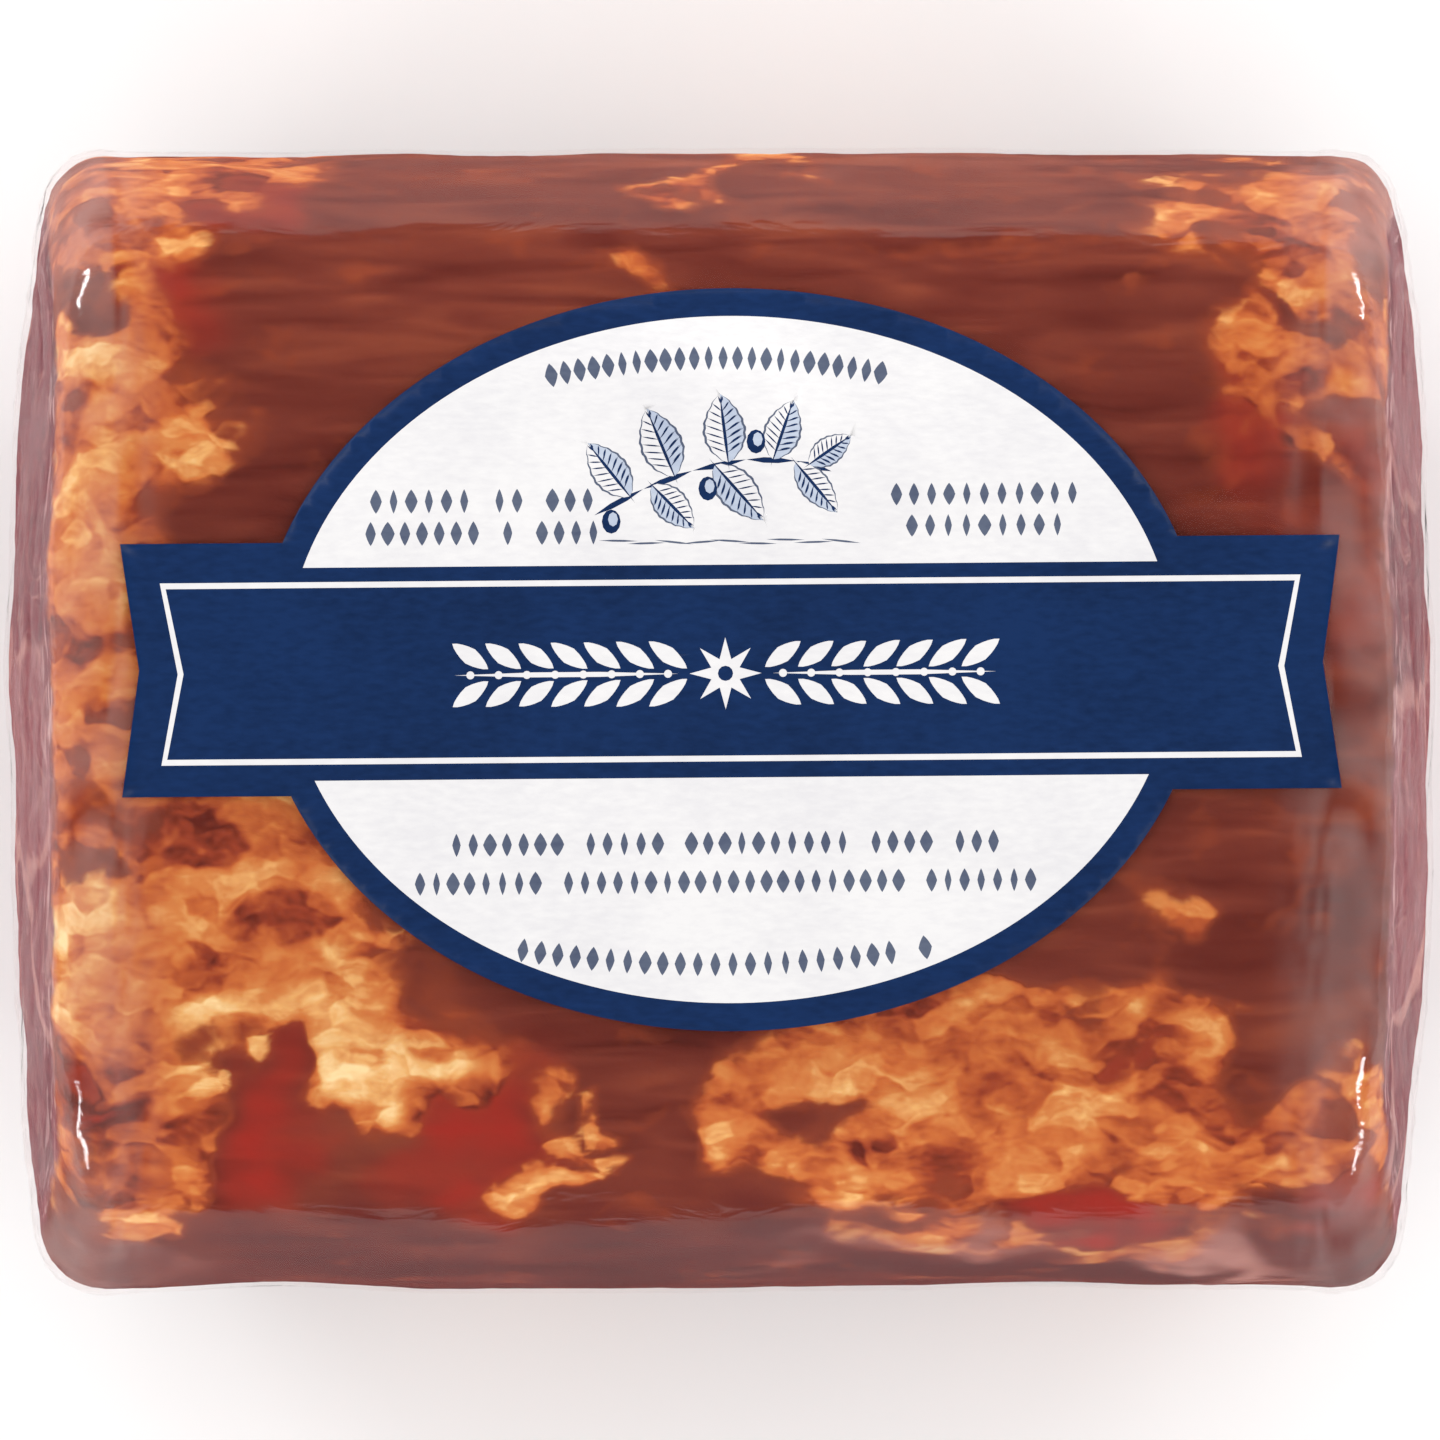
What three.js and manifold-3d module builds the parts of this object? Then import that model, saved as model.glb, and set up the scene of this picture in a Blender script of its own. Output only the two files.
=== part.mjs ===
// A boneless smoked ham joint, cut square at both ends, drawn tightly into clear film whose
// seal is folded flat along the back, with a printed oval-and-ribbon label on its top.
//
// Millimetres, +Z up. The origin is on the surface that the joint lies on, under its middle.
// +X runs along the joint from one cut end to the other, +Y across it towards the film's seal.
import * as THREE from "three";
import { mergeVertices } from "three/addons/utils/BufferGeometryUtils.js";
import Module from "manifold-3d";

const wasm = await Module();
wasm.setup();

// ---- Driving dimensions ----

// The meat
const hamLength = 164; // between the middles of the two domed cut ends
const hamWidth = 131;
const hamHeight = 97; // from its flat underside
const sectionPower = 3; // of the cross-section's superellipse: 2 is an ellipse, more is squarer
const settling = 4; // how far the round underside has flattened under the joint's weight
const restLength = 120; // of the flat rectangle that it has settled onto
const restWidth = 60;
const restSlope = THREE.MathUtils.degToRad(4); // of the underside, rising away from that rectangle
const crownAcross = 4.8; // how far a cut end stands out past its left and right rims
const crownUp = 8; // and past its upper and lower rims
const rimLength = 6; // the rounded rim of a cut end, along the joint
const rimInset = 6.2; // and towards its middle

// The film
const filmClearance = 0.3; // between the meat and the film, and between a fold and the film
const filmThickness = 0.2;
const sealThickness = 0.4; // two plies welded together
const sealHeight = 9;
const sealBottom = 20; // of the folded seal, above the surface that the joint lies on
const sealEndMargin = 14; // from each cut end to the seal's end
const slitHeight = 1; // where the two edges of the film part, under the folded seal
const slitEndMargin = 10; // from the seal's ends to the slit's ends

// The label
const labelClearance = 0.3;
const labelThickness = 0.2;
const labelCentre = new THREE.Vector2(1.2, 6.8); // of its oval, from the joint's middle
const labelTurn = THREE.MathUtils.degToRad(0.45);
const ovalWidth = 105.2;
const ovalHeight = 83;
const ribbonEndMargin = 14.1; // from the middle of a cut end to the ribbon's end
const ribbonHeight = 28.2;
const ribbonDrop = 0.8; // from the oval's middle to the ribbon's
const notchDepth = 2; // of the swallow-tail cut in each end of the ribbon

// ---- Fineness of the faceted surfaces ----

const aroundSteps = 64;
const wallSteps = 8; // along the straight part of the joint
const rimSteps = 3;
const domeSteps = 5;
const ovalSteps = 72;

// ---- The body that the meat, the film and the label all follow ----

// Stations from one cut end's middle to the other's. scale is the section's size there, as a
// share of the full section, and along runs from -1 at one rim to 1 at the other.
function stations() {
  const rimShare = rimInset / (hamWidth / 2);
  const end = [];
  for (let i = 0; i < domeSteps; i++) end.push(((1 - rimShare) * i) / domeSteps);
  for (let i = 0; i < rimSteps; i++) {
    end.push(1 - rimShare + rimShare * Math.sin((i / rimSteps) * (Math.PI / 2)));
  }
  return [
    ...end.map((scale) => ({ scale, along: -1 })),
    ...Array.from({ length: wallSteps + 1 }, (_, i) => ({ scale: 1, along: (2 * i) / wallSteps - 1 })),
    ...end.reverse().map((scale) => ({ scale, along: 1 })),
  ];
}

// The joint's outer surface, moved outwards by grow, as a closed solid.
function jointBody(grow) {
  const halfLength = hamLength / 2 + grow;
  const halfWidth = hamWidth / 2 + grow;
  const halfHeight = (hamHeight + settling) / 2 + grow;
  const bottom = filmThickness + filmClearance - grow;
  const rimShare = rimInset / (hamWidth / 2);
  const steps = stations();
  const geometry = new THREE.SphereGeometry(1, aroundSteps, steps.length - 1);
  const position = geometry.attributes.position;
  const uv = geometry.attributes.uv;
  for (let i = 0; i < position.count; i++) {
    const turn = (Math.round(uv.getX(i) * aroundSteps) / aroundSteps) * 2 * Math.PI;
    const { scale, along } = steps[Math.round((1 - uv.getY(i)) * (steps.length - 1))];
    const across = scale * Math.sign(Math.cos(turn)) * Math.abs(Math.cos(turn)) ** (2 / sectionPower);
    const up = scale * Math.sign(Math.sin(turn)) * Math.abs(Math.sin(turn)) ** (2 / sectionPower);
    const pastRim = Math.max(0, (scale - 1 + rimShare) / rimShare);
    const reach =
      halfLength -
      crownAcross * across ** 2 -
      crownUp * up ** 2 -
      rimLength * (1 - Math.sqrt(Math.max(0, 1 - pastRim ** 2)));
    const height = bottom - settling + halfHeight * (1 + up);
    position.setXYZ(i, along * reach, -across * halfWidth, height);
  }
  return solidOf(geometry).intersect(restMould(bottom));
}

// The room over a surface that is flat at the rectangle and rises away from it on every side.
function restMould(bottom) {
  const flare = hamLength; // well past the joint
  const rise = flare * Math.tan(restSlope);
  const geometry = new THREE.BoxGeometry(2, 2, 2, 1, 1, 2);
  const position = geometry.attributes.position;
  for (let i = 0; i < position.count; i++) {
    const level = Math.round(position.getZ(i) + 1); // 0 at the rectangle, 1 at the rim, 2 at the top
    const outwards = level > 0 ? flare : 0;
    position.setXYZ(
      i,
      position.getX(i) * (restLength / 2 + outwards),
      position.getY(i) * (restWidth / 2 + outwards),
      bottom + [0, rise, rise + 2 * hamHeight][level],
    );
  }
  return solidOf(geometry);
}

// The skin between two such surfaces.
function skin(innerGrow, outerGrow) {
  return jointBody(outerGrow).subtract(jointBody(innerGrow));
}

// ---- Solids and meshes ----

function solidOf(geometry) {
  geometry.deleteAttribute("normal");
  geometry.deleteAttribute("uv");
  const merged = mergeVertices(geometry, 1e-4);
  return new wasm.Manifold(
    new wasm.Mesh({
      numProp: 3,
      vertProperties: merged.attributes.position.array,
      triVerts: new Uint32Array(merged.index.array),
    }),
  );
}

function boxSolid(low, high) {
  const size = new THREE.Vector3().subVectors(high, low);
  const centre = new THREE.Vector3().addVectors(low, high).multiplyScalar(0.5);
  return solidOf(new THREE.BoxGeometry(size.x, size.y, size.z).translate(centre.x, centre.y, centre.z));
}

function meshOf(name, solid, material) {
  const { vertProperties, triVerts } = solid.getMesh();
  const geometry = new THREE.BufferGeometry()
    .setAttribute("position", new THREE.BufferAttribute(vertProperties, 3))
    .setIndex(new THREE.BufferAttribute(triVerts, 1));
  geometry.computeVertexNormals();
  const mesh = new THREE.Mesh(geometry, material);
  mesh.name = name;
  return mesh;
}

// ---- The ham, one piece of meat ----

function ham() {
  const material = new THREE.MeshStandardMaterial({ color: 0x8f4a38, roughness: 0.45, metalness: 0 });
  return meshOf("ham", jointBody(0), material);
}

// ---- The film, closed by a seal that is folded flat against its back ----

function film() {
  const inner = filmClearance;
  const outer = inner + filmThickness;
  const foldInner = outer + filmClearance;
  const foldOuter = foldInner + sealThickness;
  const halfSeal = hamLength / 2 - sealEndMargin;
  const halfSlit = halfSeal - slitEndMargin;
  const sealTop = sealBottom + sealHeight;
  const slitMiddle = sealTop - sealHeight / 2;
  const farBack = hamWidth;
  const bridgeHeight = sealThickness;

  const slit = boxSolid(
    new THREE.Vector3(-halfSlit, 0, slitMiddle - slitHeight / 2),
    new THREE.Vector3(halfSlit, farBack, slitMiddle + slitHeight / 2),
  );
  const fold = skin(foldInner, foldOuter).intersect(
    boxSolid(new THREE.Vector3(-halfSeal, 0, sealBottom), new THREE.Vector3(halfSeal, farBack, sealTop)),
  );
  // Along its upper edge the folded seal runs into the film that it is part of.
  const bridge = skin(inner + filmThickness / 2, (foldInner + foldOuter) / 2).intersect(
    boxSolid(
      new THREE.Vector3(-halfSeal, 0, sealTop - bridgeHeight),
      new THREE.Vector3(halfSeal, farBack, sealTop),
    ),
  );
  const material = new THREE.MeshStandardMaterial({
    color: 0xf4eeee,
    roughness: 0.12,
    metalness: 0,
    transparent: true,
    opacity: 0.15,
  });
  return meshOf("film", skin(inner, outer).subtract(slit).add(bridge).add(fold), material);
}

// ---- The label, cut to an oval crossed by a ribbon ----

function ovalOutline() {
  return new THREE.Shape().absellipse(0, 0, ovalWidth / 2, ovalHeight / 2, 0, 2 * Math.PI);
}

function ribbonOutline() {
  const x = hamLength / 2 - ribbonEndMargin;
  const y = ribbonHeight / 2;
  return new THREE.Shape(
    [
      [-x, -y],
      [x, -y],
      [x - notchDepth, 0],
      [x, y],
      [-x, y],
      [-x + notchDepth, 0],
    ].map(([px, py]) => new THREE.Vector2(px, py - ribbonDrop)),
  );
}

// An outline in the label's own frame, as an upright prism over the joint's upper half.
function prism(outline) {
  const geometry = new THREE.ExtrudeGeometry(outline, {
    depth: hamHeight,
    bevelEnabled: false,
    curveSegments: ovalSteps,
  });
  geometry.rotateZ(labelTurn);
  geometry.translate(labelCentre.x, labelCentre.y, hamHeight / 2);
  return solidOf(geometry);
}

function label() {
  const inner = filmClearance + filmThickness + labelClearance;
  const outline = prism(ovalOutline()).add(prism(ribbonOutline()));
  const material = new THREE.MeshStandardMaterial({ color: 0x14386a, roughness: 0.5, metalness: 0 });
  return meshOf("label", skin(inner, inner + labelThickness).intersect(outline), material);
}

const smokedHam = new THREE.Group();
smokedHam.add(ham(), film(), label());

export default smokedHam;
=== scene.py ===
import math

import bpy
import numpy as np
from mathutils import Matrix, Vector, noise
from mathutils.bvhtree import BVHTree
from mathutils.geometry import delaunay_2d_cdt


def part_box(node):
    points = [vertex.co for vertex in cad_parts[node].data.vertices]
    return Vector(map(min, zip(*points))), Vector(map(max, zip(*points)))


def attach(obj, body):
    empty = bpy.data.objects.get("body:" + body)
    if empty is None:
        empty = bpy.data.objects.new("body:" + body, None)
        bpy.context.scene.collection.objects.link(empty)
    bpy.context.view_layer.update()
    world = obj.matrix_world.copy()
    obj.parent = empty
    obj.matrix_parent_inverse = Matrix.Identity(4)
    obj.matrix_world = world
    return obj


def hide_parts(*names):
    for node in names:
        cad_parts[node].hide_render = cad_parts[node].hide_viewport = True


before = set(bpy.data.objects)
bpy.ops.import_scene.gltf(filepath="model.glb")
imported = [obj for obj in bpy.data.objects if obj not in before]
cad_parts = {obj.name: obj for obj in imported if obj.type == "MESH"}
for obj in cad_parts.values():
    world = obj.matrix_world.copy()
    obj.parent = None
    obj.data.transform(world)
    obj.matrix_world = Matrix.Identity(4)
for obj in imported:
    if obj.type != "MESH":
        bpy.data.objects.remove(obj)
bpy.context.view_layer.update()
mm = 0.001  # everything is made in millimetres, and each finished piece is brought to metres
farOut = 200  # clear of every piece, where rays to the film start
print("frame loaded")


# A value that changes over a surface. Its arithmetic becomes Math nodes in its tree.
class Field:
    def __init__(self, tree, socket):
        self.tree = tree
        self.socket = socket

    def math(self, operation, *others):
        return mathField(self.tree, operation, self, *others)

    def __add__(self, other):
        return self.math("ADD", other)

    def __sub__(self, other):
        return self.math("SUBTRACT", other)

    def __mul__(self, other):
        return self.math("MULTIPLY", other)

    def __truediv__(self, other):
        return self.math("DIVIDE", other)

    def __pow__(self, other):
        return self.math("POWER", other)

    def __neg__(self):
        return self * -1

    def __rsub__(self, other):
        return mathField(self.tree, "SUBTRACT", other, self)

    def __rtruediv__(self, other):
        return mathField(self.tree, "DIVIDE", other, self)

    def __abs__(self):
        return self.math("ABSOLUTE")

    __radd__ = __add__

    def ramp(self, low, high):  # 0 below low and 1 above high, smoothly
        made = addNode(self.tree, "ShaderNodeMapRange", {0: self, 1: low, 2: high})
        made.interpolation_type = "SMOOTHSTEP"
        return Field(self.tree, made.outputs[0])


def feed(tree, socket, value):
    if isinstance(value, Field):
        value = value.socket
    if isinstance(value, bpy.types.NodeSocket):
        tree.links.new(value, socket)
    else:
        socket.default_value = value


def addNode(tree, kind, inputs=None, **settings):
    made = tree.nodes.new(kind)
    for name, value in settings.items():
        setattr(made, name, value)
    for key, value in (inputs or {}).items():
        feed(tree, made.inputs[key], value)
    return made


def mathField(tree, operation, *values):
    made = addNode(tree, "ShaderNodeMath", dict(enumerate(values)), operation=operation)
    return Field(tree, made.outputs[0])


def vectorMath(tree, operation, inputs):
    return addNode(tree, "ShaderNodeVectorMath", inputs, operation=operation).outputs[0]


def combine(tree, x, y, z):
    return addNode(tree, "ShaderNodeCombineXYZ", {0: x, 1: y, 2: z}).outputs[0]


def separate(tree, vector):
    made = addNode(tree, "ShaderNodeSeparateXYZ", {0: vector})
    return [Field(tree, made.outputs[i]) for i in range(3)]


def stretched(tree, point, size, stretch, shift):
    scales = [1 / (size * s) for s in stretch]
    return vectorMath(tree, "MULTIPLY_ADD", {0: point, 1: scales, 2: (shift, shift * 0.7, shift * 1.3)})


# Noise whose blots are about size across, drawn out by stretch along each axis. point is in mm.
def blots(tree, point, size, stretch=(1, 1, 1), detail=3.0, distortion=0.0, shift=0.0):
    made = addNode(tree, "ShaderNodeTexNoise", {"Scale": 1.0, "Detail": detail, "Distortion": distortion})
    feed(tree, made.inputs["Vector"], stretched(tree, point, size, stretch, shift))
    return Field(tree, made.outputs[0])


# Rounded cells about size across: 0 at a cell's middle and rising towards its edges.
def cells(tree, point, size, stretch=(1, 1, 1), feature="SMOOTH_F1", shift=0.0):
    made = addNode(tree, "ShaderNodeTexVoronoi", feature=feature)
    feed(tree, made.inputs["Vector"], stretched(tree, point, size, stretch, shift))
    made.inputs["Scale"].default_value = 1.0
    return Field(tree, made.outputs["Distance"])


# Rounded clumps about size across, each of its own tone from 0 to 1, running softly into the next.
def clumpTones(tree, point, size, stretch=(1, 1, 1), shift=0.0, softness=0.35):
    made = addNode(tree, "ShaderNodeTexVoronoi", feature="SMOOTH_F1")
    feed(tree, made.inputs["Vector"], stretched(tree, point, size, stretch, shift))
    made.inputs["Scale"].default_value = 1.0
    made.inputs["Smoothness"].default_value = softness
    return separate(tree, made.outputs["Color"])[0]


# The point, led astray by up to about reach mm, so that edges and clumps wander.
def strayed(tree, point, size, reach):
    made = addNode(tree, "ShaderNodeTexNoise", {"Scale": 1.0, "Detail": 2.0})
    feed(tree, made.inputs["Vector"], stretched(tree, point, size, (1, 1, 1), 0.0))
    middle = vectorMath(tree, "ADD", {0: made.outputs["Color"], 1: (-0.5, -0.5, -0.5)})
    stray = vectorMath(tree, "SCALE", {0: middle, "Scale": 3 * reach})
    return vectorMath(tree, "ADD", {0: point, 1: stray})


# A geometry tree with an input for each size. Returns the tree, its fields by name, and its input node.
def openTree(name, sizes):
    tree = bpy.data.node_groups.new(name, "GeometryNodeTree")
    tree.interface.new_socket("Geometry", in_out="INPUT", socket_type="NodeSocketGeometry")
    tree.interface.new_socket("Finish", in_out="INPUT", socket_type="NodeSocketMaterial")
    tree.interface.new_socket("Geometry", in_out="OUTPUT", socket_type="NodeSocketGeometry")
    for label, value in sizes.items():
        kind = "NodeSocketInt" if isinstance(value, int) else "NodeSocketFloat"
        tree.interface.new_socket(label, in_out="INPUT", socket_type=kind)
    start = tree.nodes.new("NodeGroupInput")
    return tree, {label: Field(tree, start.outputs[label]) for label in sizes}, start


def closeTree(tree, start, geometry):
    plain = addNode(tree, "GeometryNodeRealizeInstances", {"Geometry": geometry})
    painted = addNode(tree, "GeometryNodeSetMaterial", {"Geometry": plain.outputs[0]})
    feed(tree, painted.inputs["Material"], start.outputs["Finish"])
    end = tree.nodes.new("NodeGroupOutput")
    tree.links.new(painted.outputs[0], end.inputs["Geometry"])
    return tree


def keepField(tree, geometry, name, value):
    made = addNode(tree, "GeometryNodeStoreNamedAttribute", {"Geometry": geometry, "Name": name})
    made.domain = "POINT"
    made.data_type = "FLOAT"
    feed(tree, [s for s in made.inputs if s.name == "Value" and s.enabled][0], value)
    return made.outputs[0]


def keptField(tree, name):
    made = addNode(tree, "GeometryNodeInputNamedAttribute", {"Name": name}, data_type="FLOAT")
    return Field(tree, made.outputs[0])


# Runs a geometry tree, on a mesh where it works on one, and returns what it makes as a plain mesh.
def runTree(tree, sizes, finish=None, start=None):
    maker = bpy.data.objects.new("maker", start or bpy.data.meshes.new("maker"))
    bpy.context.scene.collection.objects.link(maker)
    modifier = maker.modifiers.new("maker", "NODES")
    modifier.node_group = tree
    for item in tree.interface.items_tree:
        if item.in_out == "INPUT" and item.name in sizes:
            modifier[item.identifier] = sizes[item.name]
        if item.name == "Finish" and finish:
            modifier[item.identifier] = finish
    bpy.context.view_layer.update()
    mesh = bpy.data.meshes.new_from_object(maker.evaluated_get(bpy.context.evaluated_depsgraph_get()))
    bpy.data.objects.remove(maker)
    return mesh


def pointsOf(mesh):
    points = np.zeros(len(mesh.vertices) * 3)
    mesh.vertices.foreach_get("co", points)
    return points.reshape(-1, 3)


def keepValues(mesh, name, values):
    mesh.attributes.new(name, "FLOAT", "POINT").data.foreach_set("value", values.astype(np.float32))


def smooth(values, low, high):  # 0 below low and 1 above high
    share = np.clip((values - low) / (high - low), 0, 1)
    return share * share * (3 - 2 * share)


def finishPiece(name, mesh, materials, node):
    mesh.transform(Matrix.Scale(mm, 4))
    mesh.materials.clear()
    for material in materials:
        mesh.materials.append(material)
    mesh.shade_smooth()
    piece = bpy.data.objects.new(name, mesh)
    bpy.context.scene.collection.objects.link(piece)
    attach(piece, "root")
    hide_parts(node)
    return piece


def ink(hexColour):  # a colour as a screen shows it, in the linear light that shaders work in
    shares = [int(hexColour[i:i + 2], 16) / 255 for i in (0, 2, 4)]
    return [s / 12.92 if s <= 0.04045 else ((s + 0.055) / 1.055) ** 2.4 for s in shares] + [1.0]


def newMaterial(name):  # with its tree, its output node, and the point on the piece in mm
    material = bpy.data.materials.new(name)
    material.use_nodes = True
    tree = material.node_tree
    tree.nodes.clear()
    end = tree.nodes.new("ShaderNodeOutputMaterial")
    place = addNode(tree, "ShaderNodeTexCoord").outputs["Object"]
    point = vectorMath(tree, "SCALE", {0: place, "Scale": 1 / mm})
    return material, tree, end, point


def mixColour(tree, share, first, second, kind="MIX"):
    made = addNode(tree, "ShaderNodeMix", data_type="RGBA", blend_type=kind)
    for index, value in ((0, share), (6, first), (7, second)):
        feed(tree, made.inputs[index], value)
    return made.outputs[2]


def colourRamp(tree, field, stops):
    made = addNode(tree, "ShaderNodeValToRGB", {0: field})
    elements = made.color_ramp.elements
    while len(elements) < len(stops):
        elements.new(0.5)
    for element, (place, hexColour) in zip(elements, sorted(stops.items())):
        element.position = place
        element.color = ink(hexColour)
    return made.outputs[0]


def paintedField(tree, name):
    return Field(tree, addNode(tree, "ShaderNodeAttribute", attribute_name=name).outputs["Fac"])


# The form that the meat and the film share.
jointForm = {
    "sectionPower": 3.0,  # of the cross-section's superellipse
    "settling": 4.0,  # how far the round underside has flattened
    "settlingBlend": 2.5,  # over which the flat underside runs into the round sides
    "restSlope": 0.03,  # rise of the underside outside the part that the weight rests on
    "restHalfLength": 60.0,
    "restHalfWidth": 30.0,
    "crownAcross": 4.8,  # how far a cut end stands out past its left and right rims
    "crownUp": 8.0,  # and past its upper and lower rims
    "rimLength": 6.0,
    "rimShare": 0.0947,  # of the half section that the rounded rim takes
    "rimCells": 0.15,  # of the mesh's cells on a cut end that go to the rim
    "endGather": 1.15,  # radians of a sine that draws the cells along the joint towards its ends
    "length": 164.0,
    "width": 131.0,
    "height": 97.0,
    "bottom": 0.5,
    "cellsAlong": 150,
    "cellsAcross": 118,
    "cellsUp": 90,
}
cellNames = ("cellsAlong", "cellsAcross", "cellsUp")


def jointFormTree():
    tree, size, start = openTree("jointForm", jointForm)
    block = addNode(tree, "GeometryNodeMeshCube", {"Size": (2, 2, 2)})
    for axis, name in zip("XYZ", cellNames):
        feed(tree, block.inputs[f"Vertices {axis}"], size[name])
    x, y, z = separate(tree, addNode(tree, "GeometryNodeInputPosition").outputs[0])
    power = size["sectionPower"]

    # how far out a point is on its cut end, with more of the cells on the rim
    out = abs(y).math("MAXIMUM", abs(z))
    rimTurn = (out - (1 - size["rimCells"])).math("MAXIMUM", 0) / size["rimCells"] * (math.pi / 2)
    inner = out.math("MINIMUM", 1 - size["rimCells"]) / (1 - size["rimCells"])
    scale = inner * (1 - size["rimShare"]) + size["rimShare"] * rimTurn.math("SINE")
    spread = scale / (abs(y) ** power + abs(z) ** power) ** (1 / power)
    across = y * spread
    up = z * spread

    pastRim = ((scale - 1 + size["rimShare"]) / size["rimShare"]).math("MAXIMUM", 0)
    rimDrop = 1 - (1 - pastRim * pastRim).math("MAXIMUM", 0).math("SQRT")
    reach = size["length"] / 2 - size["crownAcross"] * across * across - size["crownUp"] * up * up
    reach = reach - size["rimLength"] * rimDrop
    along = (x * size["endGather"]).math("SINE") / size["endGather"].math("SINE")

    # how deep a point is into the cut end, from the start of the rim, in mm; below 0 on the outside
    endDepth = (1 - scale) * size["width"] / 2 - (1 - abs(along)) * reach
    marked = keepField(tree, block.outputs["Mesh"], "endDepth", endDepth)

    newX = along * reach
    newY = across * size["width"] / 2
    roundZ = (size["height"] + size["settling"]) / 2 * (up + 1) - size["settling"]
    pastRest = (abs(newX) - size["restHalfLength"]).math("MAXIMUM", abs(newY) - size["restHalfWidth"])
    rest = pastRest.math("MAXIMUM", 0) * size["restSlope"]
    newZ = size["bottom"] + roundZ.math("SMOOTH_MAX", rest, size["settlingBlend"])
    moved = addNode(tree, "GeometryNodeSetPosition", {"Geometry": marked})
    feed(tree, moved.inputs["Position"], combine(tree, newX, newY, newZ))
    return closeTree(tree, start, moved.outputs[0])


# Relief: lumps of fat, the grain of the lean, and creases. The film follows the meat more shallowly.
meatRelief = {
    "fatDepth": 0.8,  # of the gaps between lumps of fat
    "lumpSize": 6.0,
    "grainDepth": 0.4,  # of the grooves along the lean
    "hollowDepth": 0.9,  # of the broad hollows
    "wrinkle": 0.15,  # height of the creases at the ends
}
filmRelief = {
    "fatDepth": 0.35,
    "lumpSize": 6.0,
    "grainDepth": 0.2,
    "hollowDepth": 0.9,
    "wrinkle": 0.4,
}


def reliefTree():
    tree, size, start = openTree("surfaceRelief", meatRelief)
    point = addNode(tree, "GeometryNodeInputPosition").outputs[0]
    x, y, z = separate(tree, point)
    fat = keptField(tree, "fat")
    endDepth = keptField(tree, "endDepth")

    warped = strayed(tree, point, 1 / 0.11, 3.0)
    shrunk = vectorMath(tree, "SCALE", {0: warped, "Scale": 1 / size["lumpSize"]})
    lump = cells(tree, shrunk, 1.0, stretch=(1.35, 1, 1))

    outside = 1 - endDepth.ramp(2.0, 9.0)
    gaps = (lump ** 1.6) * (fat * 0.8 + 0.15) * size["fatDepth"] * outside
    grain = blots(tree, warped, 3.2, stretch=(6, 1, 1), detail=0.0) * size["grainDepth"] * (1 - fat * 0.6)
    hollows = blots(tree, point, 26.0, stretch=(1.6, 1, 1), detail=1.0).ramp(0.35, 0.7)
    depth = gaps + grain + hollows * size["hollowDepth"]

    folds = blots(tree, combine(tree, endDepth, y * 0.14, z * 0.14), 2.6, detail=1.5, distortion=0.6)
    folds = (1 - abs(folds * 2 - 1) * 2.6).math("MAXIMUM", 0)
    atEnds = endDepth.ramp(-8.0, 2.0) * (1 - endDepth.ramp(22.0, 40.0) * 0.6)
    creases = folds * atEnds * size["wrinkle"]

    clearOfRest = z.ramp(1.2, 9.0)
    normal = addNode(tree, "GeometryNodeInputNormal").outputs[0]
    move = vectorMath(tree, "SCALE", {0: normal, "Scale": (creases - depth) * clearOfRest})
    shape = keepField(tree, start.outputs["Geometry"], "lump", lump)
    shape = keepField(tree, shape, "crease", folds * atEnds)
    moved = addNode(tree, "GeometryNodeSetPosition", {"Geometry": shape, "Offset": move})
    return closeTree(tree, start, moved.outputs[0])


formTree = jointFormTree()
surfaceTree = reliefTree()


meat = {
    "pieceName": "smoked_meat",
    "wander": 5.0,  # how far the edges of the fat and lean areas stray
    "topFrom": 36.0,  # height over which the chosen areas of the top give way to chance ones below
    "topTo": 54.0,
    "chanceAreas": 70,
    "chanceReach": 78.0,  # of their middles along the joint
    "seed": 11,
}
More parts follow.
